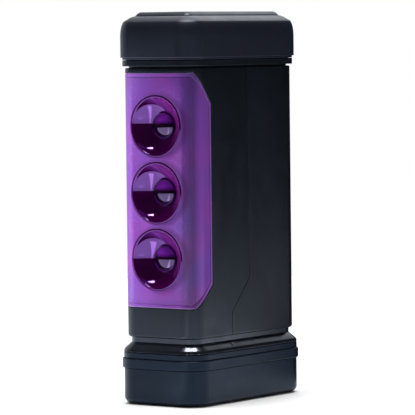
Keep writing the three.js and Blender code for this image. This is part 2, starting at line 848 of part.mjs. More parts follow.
const body = assembly(
  piece("front_shell", frontShell(), blackPlastic),
  piece("rear_shell", rearShell(), blackPlastic),
  piece("window_panel", windowPanel(), violetPlastic),
  ...CUP_NAMES.map((name, i) => piece(`sight_lens_${name}`, sightLens(CUP_HEIGHTS[i]), violetLens)),
  piece("collar_ring", collarRing(), blackPlastic),
);

const base = assembly(
  piece("base_cover", baseCover(), blackPlastic),
  piece("rim_band", rimBand(), bootPlastic),
  piece("base_belt", baseBelt(), bootPlastic),
  piece("base_boot", baseBoot(), bootPlastic),
  piece("base_plate", basePlate(), blackPlastic),
  piece("foot_ring", footRing(), rubber),
  ...fourCorners(baseScrew).map((screw, i) => piece(`base_screw_${i + 1}`, screw, steel)),
);

const lamps = assembly(
  piece("chamber_liner", chamberLiner(), brightSheet),
  piece("lamp_cover", lampCover(), clearCover),
  ...CUP_NAMES.map((name, i) => piece(`uv_led_${name}`, uvLed(CUP_HEIGHTS[i]), ledPackage)),
  piece("lamp_board", lampBoard(), board),
  piece("heat_sink", heatSink(), steel),
  piece("lamp_cable", lampCable(), rubber),
  piece("lid_sensor", lidSensor(), blackPlastic),
);

const electronics = assembly(
  piece("control_board", controlBoard(), board),
  piece("key_switch", keySwitch(), blackPlastic),
  piece("power_button", powerButton(), bootPlastic),
  piece("charging_port", chargingPort(), steel),
  piece("light_pipe", lightPipe(), clearCover),
  piece("battery_pack", batteryPack(), sleeve),
);

const lid = assembly(
  piece("lid_shell", lidShell(), blackPlastic),
  piece("lid_top_cover", lidTopCover(), blackPlastic),
  piece("lid_liner", lidLiner(), brightSheet),
  piece("lid_seal", lidSeal(), rubber),
  piece("lid_magnet", lidMagnet(), steel),
);

const rack = assembly(
  piece("rack_tray", rackTray(), rackPlastic),
  piece("rack_divider", rackDivider(), rackPlastic),
  piece("rack_grip", rackGrip(), rubber),
);

export default assembly(body, base, lamps, electronics, lid, rack);
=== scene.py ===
"""Looks for the UV sterilizer cabinet, built round its CAD frame. Metres, +Z up, window facing -Y."""
import math

import bmesh
import bpy
from mathutils import Matrix, Vector


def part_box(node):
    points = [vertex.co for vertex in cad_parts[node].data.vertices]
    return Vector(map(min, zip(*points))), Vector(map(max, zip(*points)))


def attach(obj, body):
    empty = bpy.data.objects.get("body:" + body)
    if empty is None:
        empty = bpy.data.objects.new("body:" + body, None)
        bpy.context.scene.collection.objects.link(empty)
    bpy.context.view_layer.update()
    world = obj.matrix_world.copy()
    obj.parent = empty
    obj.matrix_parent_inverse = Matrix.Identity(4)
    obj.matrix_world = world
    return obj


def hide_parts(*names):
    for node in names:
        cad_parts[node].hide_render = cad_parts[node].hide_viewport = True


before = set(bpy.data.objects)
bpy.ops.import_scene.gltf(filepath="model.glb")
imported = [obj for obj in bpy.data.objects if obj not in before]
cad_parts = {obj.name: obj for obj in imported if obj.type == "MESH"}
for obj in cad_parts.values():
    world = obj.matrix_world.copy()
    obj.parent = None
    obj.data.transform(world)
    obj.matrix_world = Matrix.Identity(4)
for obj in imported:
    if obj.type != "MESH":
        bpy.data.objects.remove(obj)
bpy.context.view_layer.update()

MM = 0.001
GAP = 0.3 * MM
CORNER_STEPS = 24
QUARTERS = ((1, 1), (-1, 1), (-1, -1), (1, -1))

# ---- Sizes, measured on the frame where it has them -----------------------------------------------
HALF_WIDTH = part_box("front_shell")[1].x
HALF_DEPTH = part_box("rear_shell")[1].y
FRONT = -HALF_DEPTH
CORNER_RADIUS = 14 * MM
WALL = 2.5 * MM


def outside_of(node):
    """How far a node stands outside the body's plan."""
    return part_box(node)[1].x - HALF_WIDTH


def bottom_of(node):
    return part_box(node)[0].z


def top_of(node):
    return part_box(node)[1].z


def middle_of(node):
    low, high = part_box(node)
    return (low + high) / 2


# An offset is a distance outwards from the body's plan, and negative inside it.
BODY_BOTTOM = bottom_of("front_shell")
BODY_TOP = top_of("front_shell")
COLLAR_BOTTOM = BODY_TOP + 1.3 * MM
COLLAR_TOP = bottom_of("lid_shell") - GAP
LID_EDGE = bottom_of("lid_shell") + 1.7 * MM
LID_TOP = top_of("lid_shell")
NECK_OFFSET = -2.8 * MM
BORE_OFFSET = -4.8 * MM
SKIRT_OFFSET = 0.5 * MM
SHOULDER_BOTTOM = top_of("rim_band") + GAP
SHOULDER_TOP = BODY_BOTTOM - 3.8 * MM
CONTROL_HEIGHT = middle_of("power_button").z
SCREWS = [f"base_screw_{number}" for number in range(1, 5)]

WINDOW_BOTTOM = bottom_of("window_panel") - GAP
WINDOW_TOP = top_of("window_panel") + GAP
WINDOW_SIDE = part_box("window_panel")[1].y + GAP
WINDOW_CORNER = FRONT + 6 * MM
WINDOW_TOP_CHAMFER = 24 * MM
WINDOW_BOTTOM_CHAMFER = 18 * MM
WINDOW_THICKNESS = 2.3 * MM
CUPS = ("top", "middle", "bottom")
CUP_HEIGHTS = {cup: middle_of(f"sight_lens_{cup}").z for cup in CUPS}
CUP_SPACING = CUP_HEIGHTS["top"] - CUP_HEIGHTS["middle"]
CUP_RADIUS = 23 * MM
CUP_DEPTH = 11.5 * MM
CUP_FLOOR_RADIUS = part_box("sight_lens_top")[1].x + GAP
CUP_WALL = 1.8 * MM
CUP_LIP = 0.9 * MM
CUP_CLEARANCE = 0.8 * MM
STUD_X = 22 * MM
STUD_RADIUS = 4.5 * MM

SEAM_UPPER = 3 * MM
SEAM_LOWER = -20.7 * MM
SEAM_BEND_TOP = 95 * MM
SEAM_BEND_BOTTOM = 69.7 * MM


# ---- Mesh helpers ---------------------------------------------------------------------------------
def spread(start, end, steps):
    return [start + (end - start) * step / steps for step in range(steps + 1)]


def arc(offset, z, radius, start, end, steps=8):
    """Profile points on an arc. Angles are in degrees, 0 pointing outwards and 90 up."""
    return [
        (offset + radius * math.cos(math.radians(angle)), z + radius * math.sin(math.radians(angle)))
        for angle in spread(start, end, steps)
    ]


def plan_ring(offset, z):
    """Points round the tower's plan at one height, pushed out by offset."""
    radius = CORNER_RADIUS + offset
    points = []
    for quarter, (side_x, side_y) in enumerate(QUARTERS):
        middle_x = side_x * (HALF_WIDTH - CORNER_RADIUS)
        middle_y = side_y * (HALF_DEPTH - CORNER_RADIUS)
        for angle in spread(90 * quarter, 90 * quarter + 90, CORNER_STEPS):
            turn = math.radians(angle)
            points.append((middle_x + radius * math.cos(turn), middle_y + radius * math.sin(turn), z))
    return points


def to_object(name, mesh):
    bmesh.ops.recalc_face_normals(mesh, faces=mesh.faces)
    data = bpy.data.meshes.new(name)
    mesh.to_mesh(data)
    mesh.free()
    piece = bpy.data.objects.new(name, data)
    bpy.context.scene.collection.objects.link(piece)
    return piece


def skin(name, rings, closed):
    """Joins rings of equal length. An open stack gets flat ends; a closed one joins up like a hoop."""
    mesh = bmesh.new()
    rows = [[mesh.verts.new(point) for point in ring] for ring in rings]
    pairs = list(zip(rows, rows[1:]))
    if closed:
        pairs.append((rows[-1], rows[0]))
    else:
        mesh.faces.new(rows[0])
        mesh.faces.new(rows[-1])
    for lower, upper in pairs:
        for i in range(len(lower)):
            mesh.faces.new((lower[i - 1], lower[i], upper[i], upper[i - 1]))
    return to_object(name, mesh)


def block(name, profile):
    """A solid of the tower's plan, from a profile of (offset, height) that runs upwards."""
    return skin(name, [plan_ring(offset, z) for offset, z in profile], False)


def hoop(name, profile):
    """A ring round the tower's plan, from a closed profile of (offset, height)."""
    return skin(name, [plan_ring(offset, z) for offset, z in profile], True)


def side_prism(outline):
    """A cutter right across the width, from an outline of (y, z) points."""
    reach = 4 * HALF_WIDTH
    rings = [[(x, y, z) for y, z in outline] for x in (-reach, reach)]
    return skin("cutter", rings, False)


def turned(name, profile, centre, steps=96):
    """A turned piece facing forwards, along -Y. The profile is (radius, distance forwards).

    A point on the axis is a row of one vertex, which all the faces beside it share.
    """
    mesh = bmesh.new()
    rows = []
    for radius, forwards in profile:
        row = []
        for step in range(steps if radius > 0 else 1):
            turn = 2 * math.pi * step / steps
            place = Vector((radius * math.cos(turn), -forwards, radius * math.sin(turn)))
            row.append(mesh.verts.new(centre + place))
        rows.append(row)
    for lower, upper in zip(rows, rows[1:]):
        for i in range(steps):
            corners = [
                lower[(i - 1) % len(lower)],
                lower[i % len(lower)],
                upper[i % len(upper)],
                upper[(i - 1) % len(upper)],
            ]
            mesh.faces.new(list(dict.fromkeys(corners)))
    return to_object(name, mesh)


def rod(radius, bottom, top, x, y, steps=32):
    """An upright round bar."""
    circle = []
    for step in range(steps):
        turn = 2 * math.pi * step / steps
        circle.append((x + radius * math.cos(turn), y + radius * math.sin(turn)))
    rings = [[(px, py, z) for px, py in circle] for z in (bottom, top)]
    return skin("rod", rings, False)


def rear_slot(width, height, radius, x):
    """A cutter through the rear wall at the height of the controls, with round corners."""
    near = HALF_DEPTH - 5 * MM
    far = HALF_DEPTH + 9 * MM
    outline = []
    for quarter, (side_x, side_z) in enumerate(QUARTERS):
        middle_x = x + side_x * (width / 2 - radius)
        middle_z = CONTROL_HEIGHT + side_z * (height / 2 - radius)
        for angle in spread(90 * quarter, 90 * quarter + 90, 10):
            turn = math.radians(angle)
            outline.append((middle_x + radius * math.cos(turn), middle_z + radius * math.sin(turn)))
    rings = [[(px, y, pz) for px, pz in outline] for y in (near, far)]
    return skin("cutter", rings, False)


def bake(piece):
    """Applies a piece's modifiers."""
    evaluated = piece.evaluated_get(bpy.context.evaluated_depsgraph_get())
    piece.data = bpy.data.meshes.new_from_object(evaluated)
    piece.modifiers.clear()


def combine(piece, tool, operation):
    change = piece.modifiers.new("combine", "BOOLEAN")
    change.operation = operation
    change.solver = "EXACT"
    change.object = tool
    bake(piece)
    bpy.data.objects.remove(tool)
    return piece


def keep(piece, tool):
    return combine(piece, tool, "INTERSECT")


def cut(piece, tool):
    return combine(piece, tool, "DIFFERENCE")


def join(piece, tool):
    return combine(piece, tool, "UNION")


def soften(piece, width, segments=3, edge_slot=-1):
    """Rounds a piece's sharp edges a little, as moulding does, and shades the rest smoothly.

    The rounded edges get the material in edge_slot, or that of the faces beside them.
    """
    for face in piece.data.polygons:
        face.use_smooth = True
    weld = piece.modifiers.new("weld", "WELD")
    weld.merge_threshold = 0.004 * MM
    rounding = piece.modifiers.new("soften", "BEVEL")
    rounding.width = width
    rounding.segments = segments
    rounding.limit_method = "ANGLE"
    rounding.angle_limit = math.radians(28)
    rounding.use_clamp_overlap = False
    rounding.harden_normals = True
    rounding.miter_outer = "MITER_ARC"
    rounding.material = edge_slot
    return piece


# ---- Colours --------------------------------------------------------------------------------------
COOL = (0.74, 0.82, 1.0, 1.0)
TEAL = (0.56, 0.80, 1.0, 1.0)
VIOLET_BLUE = (0.168, 0.057, 0.335, 1.0)
VIOLET_RED = (0.234, 0.054, 0.326, 1.0)
# Painted shade: darker violets for the panel's corners, where it turns away from the light.
SHADED_CORNER_BLUE = (0.072, 0.034, 0.154, 1.0)
SHADED_CORNER_RED = (0.102, 0.029, 0.150, 1.0)
VIOLET_DEEP = (0.070, 0.018, 0.160, 1.0)
# Painted shade of the cups' walls and painted light of the studs, as if seen through the panel.
VIOLET_WALL_SHADE = (0.050, 0.006, 0.070, 1.0)
VIOLET_STUD_LIGHT = (0.24, 0.11, 0.36, 1.0)


# ---- Material helpers -----------------------------------------------------------------------------
def add_node(tree, kind, inputs=None, **settings):
    """Adds a shader node. An input is a plain value or another node's output socket."""
    node = tree.nodes.new(kind)
    for name, value in settings.items():
        setattr(node, name, value)
    for name, value in (inputs or {}).items():
        if isinstance(value, bpy.types.NodeSocket):
            tree.links.new(value, node.inputs[name])
        else:
            node.inputs[name].default_value = value
    return node


def start_material(name):
    material = bpy.data.materials.new(name)
    material.use_nodes = True
    tree = material.node_tree
    shader = tree.nodes["Principled BSDF"]
    return material, tree, shader


def object_place(tree, stretch=(1, 1, 1)):
    place = add_node(tree, "ShaderNodeTexCoord").outputs["Object"]
    return add_node(tree, "ShaderNodeMapping", {"Vector": place, "Scale": stretch}).outputs["Vector"]


def noise(tree, scale, detail=3.0, stretch=(1, 1, 1)):
    inputs = {"Vector": object_place(tree, stretch), "Scale": scale, "Detail": detail}
    return add_node(tree, "ShaderNodeTexNoise", inputs).outputs["Fac"]


def remap(tree, value, from_low, from_high, to_low, to_high):
    inputs = {
        "Value": value,
        "From Min": from_low,
        "From Max": from_high,
        "To Min": to_low,
        "To Max": to_high,
    }
    return add_node(tree, "ShaderNodeMapRange", inputs).outputs["Result"]


def blend_colours(tree, factor, first, second):
    mix = add_node(tree, "ShaderNodeMix", data_type="RGBA")
    for index, value in ((0, factor), (6, first), (7, second)):
        if isinstance(value, bpy.types.NodeSocket):
            tree.links.new(value, mix.inputs[index])
        else:
            mix.inputs[index].default_value = value
    return mix.outputs[2]


def shade_of(colour, factor):
    return tuple(factor * channel for channel in colour) + (1.0,)


def maths(tree, operation, *values):
    inputs = dict(enumerate(values))
    return add_node(tree, "ShaderNodeMath", inputs, operation=operation).outputs[0]


def worn_edges(tree):
    """Near 1 on outward edges, where handling polishes and lightens a moulding."""
    pointiness = add_node(tree, "ShaderNodeNewGeometry").outputs["Pointiness"]
    return remap(tree, pointiness, 0.52, 0.60, 0.0, 1.0)


def bump(tree, height, strength, distance):
    inputs = {"Height": height, "Strength": strength, "Distance": distance}
    return add_node(tree, "ShaderNodeBump", inputs).outputs["Normal"]


def moulded(
    name,
    colour,
    roughness,
    grain=2400,
    grain_depth=0.012,
    variation=0.12,
    wear=0.25,
    specular=0.5,
    tint=COOL,
):
    """Moulded plastic: slow colour drift, fine grain, uneven gloss and lightly worn edges.

    The grain's depth is in millimetres. The tint colours what the plastic reflects.
    """
    material, tree, shader = start_material(name)
    drift = noise(tree, 34)
    low = shade_of(colour, 1 - variation)
    high = shade_of(colour, 1 + variation)
    body = blend_colours(tree, drift, low, high)
    wear_map = maths(tree, "MULTIPLY", worn_edges(tree), noise(tree, 320))
    worn = blend_colours(tree, wear_map, body, shade_of(colour, 1 + 4 * wear))
    tree.links.new(worn, shader.inputs["Base Color"])
    gloss = remap(tree, noise(tree, 85, detail=1.5), 0.3, 0.7, roughness - 0.03, roughness + 0.04)
    tree.links.new(gloss, shader.inputs["Roughness"])
    tree.links.new(bump(tree, noise(tree, grain), 0.35, grain_depth * MM), shader.inputs["Normal"])
    shader.inputs["Specular IOR Level"].default_value = specular
    shader.inputs["Specular Tint"].default_value = tint
    return material


def metal(name, colour, roughness, stretch, scale=700):
    """Metal with fine lines along one direction."""
    material, tree, shader = start_material(name)
    lines = noise(tree, scale, detail=2.0, stretch=stretch)
    tone = blend_colours(tree, lines, shade_of(colour, 0.82), shade_of(colour, 1.06))
    tree.links.new(tone, shader.inputs["Base Color"])
    gloss = remap(tree, noise(tree, 60), 0.3, 0.7, roughness - 0.05, roughness + 0.08)
    tree.links.new(gloss, shader.inputs["Roughness"])
    tree.links.new(bump(tree, lines, 0.25, 0.02 * MM), shader.inputs["Normal"])
    shader.inputs["Metallic"].default_value = 1.0
    return material


# ---- Materials ------------------------------------------------------------------------------------
def body_plastic():
    return moulded("body_plastic", (0.0034, 0.0052, 0.0076), 0.32, specular=0.48)


def base_plastic():
    return moulded("base_plastic", (0.0028, 0.0046, 0.0118), 0.33, specular=0.31, tint=TEAL)


def shoulder_plastic():
    return moulded("shoulder_plastic", (0.0070, 0.0085, 0.0110), 0.21, specular=0.75)


def lid_plastic():
    return moulded("lid_plastic", (0.0074, 0.0096, 0.0160), 0.42)


def ring_map(tree, x, first_z, last_z, radius, softness):
    """1 on rings that face forwards, stacked at the spacing of the cups, and 0 away from them."""
    place = add_node(tree, "ShaderNodeTexCoord").outputs["Object"]
    axes = add_node(tree, "ShaderNodeSeparateXYZ", {"Vector": place}).outputs
    above_first = maths(tree, "SUBTRACT", axes["Z"], first_z)
    steps = maths(tree, "ROUND", maths(tree, "DIVIDE", above_first, CUP_SPACING))
    last_step = round((last_z - first_z) / CUP_SPACING)
    nearest = maths(tree, "MINIMUM", maths(tree, "MAXIMUM", steps, 0.0), last_step)
    centre_z = maths(tree, "MULTIPLY_ADD", nearest, CUP_SPACING, first_z)
    across = maths(tree, "POWER", maths(tree, "SUBTRACT", axes["X"], x), 2.0)
    up = maths(tree, "POWER", maths(tree, "SUBTRACT", axes["Z"], centre_z), 2.0)
    distance = maths(tree, "SQRT", maths(tree, "ADD", across, up))
    from_ring = maths(tree, "ABSOLUTE", maths(tree, "SUBTRACT", distance, radius))
    return remap(tree, from_ring, 0.0, softness, 1.0, 0.0)


def corner_shade_share(tree):
    """Where painted shade falls on the panel: 0 on its front, rising to 1 round its corners, and low again
    on its sides.
    """
    normal = add_node(tree, "ShaderNodeTexCoord").outputs["Normal"]
    across = add_node(tree, "ShaderNodeSeparateXYZ", {"Vector": normal}).outputs["X"]
    sideways = maths(tree, "ABSOLUTE", across)
    to_corner = remap(tree, sideways, 0.0, 0.65, 0.0, 1.0)
    past_corner = remap(tree, sideways, 0.86, 1.0, 0.0, 0.9)
    return maths(tree, "SUBTRACT", to_corner, past_corner)


def mottled_shaded_violet(tree):
    """Cloudy violet with faint upright streaks, and painted shade that darkens it round the corners."""
    mottle = remap(tree, noise(tree, 34, detail=4.0), 0.36, 0.64, 0.0, 1.0)
    face = blend_colours(tree, mottle, VIOLET_BLUE, VIOLET_RED)
    # Painted shade: these corner colours darken the panel round its corners.
    corner = blend_colours(tree, mottle, SHADED_CORNER_BLUE, SHADED_CORNER_RED)
    shaded = blend_colours(tree, corner_shade_share(tree), face, corner)
    streak = remap(tree, noise(tree, 150, 2.0, (1, 1, 0.06)), 0.3, 0.7, 0.0, 0.16)
    return blend_colours(tree, streak, shaded, VIOLET_DEEP)


def window_violet():
    """Frosted violet panel, with painted shade in rings where the cups' walls would show faintly through
    it, and painted light in rings where the studs would.
    """
    wall_shade_shift = 4 * MM
    wall_shade_softness = 4.5 * MM
    stud_light_softness = 0.8 * MM
    material, tree, shader = start_material("window_violet")
    low_cup = CUP_HEIGHTS["bottom"]
    high_cup = CUP_HEIGHTS["top"]
    # Painted shade: a dark ring beside each cup, shifted sideways, where its wall would show through.
    wall = ring_map(tree, wall_shade_shift, low_cup, high_cup, CUP_RADIUS, wall_shade_softness)
    tone = blend_colours(tree, maths(tree, "MULTIPLY", wall, 0.6), mottled_shaded_violet(tree), VIOLET_WALL_SHADE)
    low_stud = low_cup - CUP_SPACING / 2
    high_stud = high_cup + CUP_SPACING / 2
    # Painted light: pale rings where the studs behind would show through.
    for x in (-STUD_X, STUD_X):
        stud_light_ring = ring_map(tree, x, low_stud, high_stud, STUD_RADIUS, stud_light_softness)
        tone = blend_colours(tree, maths(tree, "MULTIPLY", stud_light_ring, 0.24), tone, VIOLET_STUD_LIGHT)
    tree.links.new(tone, shader.inputs["Base Color"])
    gloss = remap(tree, noise(tree, 140, detail=1.0), 0.3, 0.7, 0.29, 0.33)
    tree.links.new(gloss, shader.inputs["Roughness"])
    tree.links.new(bump(tree, noise(tree, 2600), 0.3, 0.01 * MM), shader.inputs["Normal"])
    shader.inputs["Specular IOR Level"].default_value = 0.2
    return material


def window_edge_highlight():
    """The panel's cut edges, a little paler than its face: a painted highlight along them."""
    material, tree, shader = start_material("window_edge_highlight")
    tone = blend_colours(tree, noise(tree, 160), (0.30, 0.16, 0.44, 1), (0.38, 0.24, 0.52, 1))
    tree.links.new(tone, shader.inputs["Base Color"])
    shader.inputs["Roughness"].default_value = 0.3
    return material


def polished_painted_light_violet(name, dark, light, facing, start, end, index, tint):
    """Polished violet plastic with painted light: its colour lightens as its surface turns to face one
    direction.
    """
    material, tree, shader = start_material(name)
    normal = add_node(tree, "ShaderNodeTexCoord").outputs["Normal"]
    inputs = {0: normal, 1: Vector(facing).normalized()}
    lit_share = add_node(tree, "ShaderNodeVectorMath", inputs, operation="DOT_PRODUCT").outputs["Value"]
    colour = blend_colours(tree, remap(tree, lit_share, start, end, 0, 1), dark, light)
    drift = remap(tree, noise(tree, 70), 0.3, 0.7, 0.0, 0.25)
    tone = blend_colours(tree, drift, colour, shade_of(dark[:3], 0.5))
    tree.links.new(tone, shader.inputs["Base Color"])
    gloss = remap(tree, noise(tree, 180, detail=1.0), 0.3, 0.7, 0.04, 0.08)
    tree.links.new(gloss, shader.inputs["Roughness"])
    shader.inputs["IOR"].default_value = index
    shader.inputs["Specular IOR Level"].default_value = 0.9
    shader.inputs["Specular Tint"].default_value = tint
    return material


def cup_violet():
    # Painted light and reflection: the bowl is lighter where its wall faces left and down.
    dark = (0.034, 0.0003, 0.034, 1)
    light = (0.17, 0.018, 0.20, 1)
    tint = (0.56, 0.26, 1.0, 1.0)
    return polished_painted_light_violet("cup_violet", dark, light, (-1, 0, -0.6), 0.05, 0.75, 1.92, tint)


def lens_violet():
    # Painted light: the dome is lighter where it faces up.
    dark = (0.008, 0.0006, 0.010, 1)
    light = (0.17, 0.014, 0.32, 1)
    tint = (0.70, 0.48, 1.0, 1.0)
    return polished_painted_light_violet("lens_violet", dark, light, (0, 0, 1), 0.10, 0.34, 1.7, tint)


def rubber():
    return moulded("rubber", (0.016, 0.016, 0.017), 0.72, grain=1500, grain_depth=0.03, wear=0.1)


def inner_plastic():
    return moulded("inner_plastic", (0.028, 0.029, 0.032), 0.5)


def button_plastic():
    return moulded("button_plastic", (0.045, 0.050, 0.060), 0.42)


def rack_plastic():
    return moulded("rack_plastic", (0.50, 0.51, 0.53), 0.42, variation=0.04, wear=0.05)


def led_package():
    return moulded("led_package", (0.80, 0.72, 0.40), 0.22, variation=0.05, wear=0.05)


def cable_jacket():
    return moulded("cable_jacket", (0.020, 0.020, 0.022), 0.55)


def cell_sleeve():
    return moulded("cell_sleeve", (0.03, 0.11, 0.35), 0.33, variation=0.06)


def bright_sheet():
    return metal("bright_sheet", (0.80, 0.81, 0.84), 0.17, (1, 1, 0.03))


def heat_sink_metal():
    return metal("heat_sink_metal", (0.62, 0.63, 0.65), 0.35, (1, 1, 0.05))


def steel():
    return metal("steel", (0.58, 0.58, 0.60), 0.34, (1, 1, 0.1))


def clear_cover():
    """Clear plastic with a faint haze and fine scratches."""
    material, tree, shader = start_material("clear_cover")
    tint = blend_colours(tree, noise(tree, 50), (0.86, 0.92, 0.95, 1), (0.94, 0.97, 0.99, 1))
    tree.links.new(tint, shader.inputs["Base Color"])
    gloss = remap(tree, noise(tree, 400, stretch=(1, 1, 0.1)), 0.3, 0.7, 0.04, 0.12)
    tree.links.new(gloss, shader.inputs["Roughness"])
    shader.inputs["Transmission Weight"].default_value = 0.85
    return material


def circuit_board():
    """Green solder mask over straight copper tracks."""
    material, tree, shader = start_material("circuit_board")
    tracks = add_node(
        tree,
        "ShaderNodeTexBrick",
        {
            "Vector": object_place(tree),
            "Scale": 260.0,
            "Mortar Size": 0.03,
            "Color1": (0.010, 0.085, 0.038, 1),
            "Color2": (0.012, 0.105, 0.045, 1),
            "Mortar": (0.05, 0.22, 0.10, 1),
        },
    )
    tree.links.new(tracks.outputs["Color"], shader.inputs["Base Color"])
    gloss = remap(tree, noise(tree, 200), 0.3, 0.7, 0.3, 0.42)
    tree.links.new(gloss, shader.inputs["Roughness"])
    tree.links.new(bump(tree, tracks.outputs["Fac"], 0.4, 0.03 * MM), shader.inputs["Normal"])
    return material


def floor_paint():
    """Pale matt floor, which lends the object a cooler light than it shows the camera."""
    material, tree, shader = start_material("floor_paint")
    pale = blend_colours(tree, noise(tree, 3), (0.90, 0.90, 0.90, 1), (0.93, 0.93, 0.93, 1))
    camera_ray = add_node(tree, "ShaderNodeLightPath").outputs["Is Camera Ray"]
    tone = blend_colours(tree, camera_ray, (0.87, 0.915, 1.0, 1), pale)
    tree.links.new(tone, shader.inputs["Base Color"])
    shader.inputs["Roughness"].default_value = 0.6
    shader.inputs["Specular IOR Level"].default_value = 0.2
    return material


# ---- Regions that several pieces share ------------------------------------------------------------
def front_of_seam(shift):
    """Everything in front of the seam between the shells, moved back by shift."""
    front = 2 * FRONT
    top = 2 * LID_TOP
    return side_prism(
        [
            (front, -top),
            (SEAM_LOWER + shift, -top),
            (SEAM_LOWER + shift, SEAM_BEND_BOTTOM),
            (SEAM_UPPER + shift, SEAM_BEND_TOP),
            (SEAM_UPPER + shift, top),
            (front, top),
        ]
    )


def window_region(inset):
    """The window's outline, made smaller all round by inset."""
    front = 2 * FRONT
    bottom = WINDOW_BOTTOM + inset
    top = WINDOW_TOP - inset
    side = WINDOW_SIDE - inset
    corner = WINDOW_CORNER - inset / 2
    return side_prism(
        [
            (front, bottom),
            (corner, bottom),
            (side, WINDOW_BOTTOM + WINDOW_BOTTOM_CHAMFER + inset / 2),
            (side, WINDOW_TOP - WINDOW_TOP_CHAMFER - inset / 2),
            (corner, top),
            (front, top),
        ]
    )


# ---- Body -----------------------------------------------------------------------------------------
def body_hoop(name):
    lower_round = 2.2 * MM
    upper_round = 1 * MM
    return hoop(
        name,
        [
            (-WALL, BODY_BOTTOM),
            *arc(-lower_round, BODY_BOTTOM + lower_round, lower_round, -90, 0),
            *arc(-upper_round, BODY_TOP - upper_round, upper_round, 0, 90),
            (-WALL, BODY_TOP),
        ],
    )


def front_shell():
    shell = keep(body_hoop("front_body_shell"), front_of_seam(0))
    return soften(cut(shell, window_region(0)), 0.35 * MM)


def seam_bevel(side):
    """A cutter for the shallow bevel beside the seam, which fades out above the seam's bend."""
    width = 7.5 * MM
    depth = 0.45 * MM
    proud = 1 * MM
    fade = 22 * MM
    face = side * HALF_WIDTH
    out = side * (HALF_WIDTH + proud)
    near = SEAM_UPPER - proud
    far = SEAM_UPPER + width
    rings = []
    for z, share in ((SEAM_BEND_TOP, 0.0), (SEAM_BEND_TOP + fade, 1.0), (BODY_TOP + proud, 1.0)):
        inner = face - side * depth * share
        rings.append([(inner, near, z), (face, far, z), (out, far, z), (out, near, z)])
    return skin("cutter", rings, False)


def rear_shell():
    """The rear shell has a lip that reaches inside the front shell along the seam."""
    lip_reach = 4 * MM
    lip_root = 6 * MM
    lip_bottom = top_of("base_cover") + 1.6 * MM
    lip_top = BODY_TOP - 14.5 * MM
    lip_inside = -WALL - 1.8 * MM
    root_outside = -WALL + 1 * MM

    def lip(outside):
        lower = [(lip_inside, lip_bottom), (outside, lip_bottom)]
        upper = [(outside, lip_top), (lip_inside, lip_top)]
        return keep(hoop("lip", lower + upper), front_of_seam(lip_root))

    shell = cut(body_hoop("rear_body_shell"), front_of_seam(GAP))
    for side in (-1, 1):
        cut(shell, seam_bevel(side))
    join(shell, cut(lip(root_outside), front_of_seam(GAP)))
    join(shell, cut(lip(-WALL - GAP), front_of_seam(-lip_reach)))
    return soften(shell, 0.25 * MM)


def cup_centre(cup):
    return Vector((0, FRONT, CUP_HEIGHTS[cup]))


def cup(name):
    """A polished round bowl with a small rounded lip and a flat floor for its lens."""
    mouth = CUP_RADIUS - CUP_LIP
    distance = (mouth**2 - CUP_FLOOR_RADIUS**2 - CUP_DEPTH**2) / (2 * CUP_DEPTH)
    radius = math.hypot(mouth, distance)
    lip_middle = math.sqrt((radius + CUP_LIP) ** 2 - (distance + CUP_LIP) ** 2)
    floor_turn = math.asin(CUP_FLOOR_RADIUS / radius)
    lip_turn = math.atan2(lip_middle, distance + CUP_LIP)
    bowl = [
        (radius * math.sin(turn), distance - radius * math.cos(turn))
        for turn in spread(floor_turn, lip_turn, 24)
    ]
    lip = [
        (lip_middle - CUP_LIP * math.sin(turn), CUP_LIP * (math.cos(turn) - 1))
        for turn in spread(lip_turn, -math.pi / 2, 14)
    ]
    outer_radius = radius + CUP_WALL
    back = bowl[0][1] - CUP_WALL
    root_turn = math.acos((distance + WINDOW_THICKNESS) / outer_radius)
    back_turn = math.acos((distance - back) / outer_radius)
    outside = [
        (outer_radius * math.sin(turn), distance - outer_radius * math.cos(turn))
        for turn in spread(root_turn, back_turn, 16)
    ]
    profile = [(0, bowl[0][1]), *bowl, *lip[1:], (lip[-1][0], -WINDOW_THICKNESS), *outside, (0, back)]
    return soften(turned(f"cup_{name}", profile, cup_centre(name)), 0.2 * MM, 2)


def panel_stud(x, z):
    back = -5 * MM
    root = -WINDOW_THICKNESS + 0.8 * MM
    profile = [(0, back), (STUD_RADIUS, back), (STUD_RADIUS, root), (0, root)]
    return turned("stud", profile, Vector((x, FRONT, z)), 48)


def window_groove():
    """A cutter for the shallow groove that follows the panel's outline."""
    inset = 2.8 * MM
    width = 0.9 * MM
    depth = 0.45 * MM
    proud = 1 * MM
    walls = [(-depth, WINDOW_BOTTOM), (proud, WINDOW_BOTTOM), (proud, WINDOW_TOP), (-depth, WINDOW_TOP)]
    ring = keep(hoop("cutter", walls), window_region(inset))
    return cut(ring, window_region(inset + width))


def window_panel(face, edge):
    """The violet panel that wraps round the front, with holes for the cups and studs behind.

    It takes its two materials here, since its outer edges carry a painted highlight, paler than its face.
    """
    panel = hoop(
        "violet_window",
        [
            (-WINDOW_THICKNESS, WINDOW_BOTTOM + GAP),
            (0, WINDOW_BOTTOM + GAP),
            (0, WINDOW_TOP - GAP),
            (-WINDOW_THICKNESS, WINDOW_TOP - GAP),
        ],
    )
    keep(panel, window_region(GAP))
    panel.data.materials.append(face)
    panel.data.materials.append(edge)
    # The rounded outer edges take the paler second material, a painted highlight.
    bake(soften(panel, 0.6 * MM, edge_slot=1))
    cut(panel, window_groove())
    for step in (-1.5, -0.5, 0.5, 1.5):
        for x in (-STUD_X, STUD_X):
            join(panel, panel_stud(x, CUP_HEIGHTS["middle"] + step * CUP_SPACING))
    hole = CUP_RADIUS + CUP_CLEARANCE
    reach = 8 * MM
    for name in CUPS:
        profile = [(0, -reach), (hole, -reach), (hole, reach), (0, reach)]
        cut(panel, turned("hole", profile, cup_centre(name)))
    return soften(panel, 0.25 * MM)


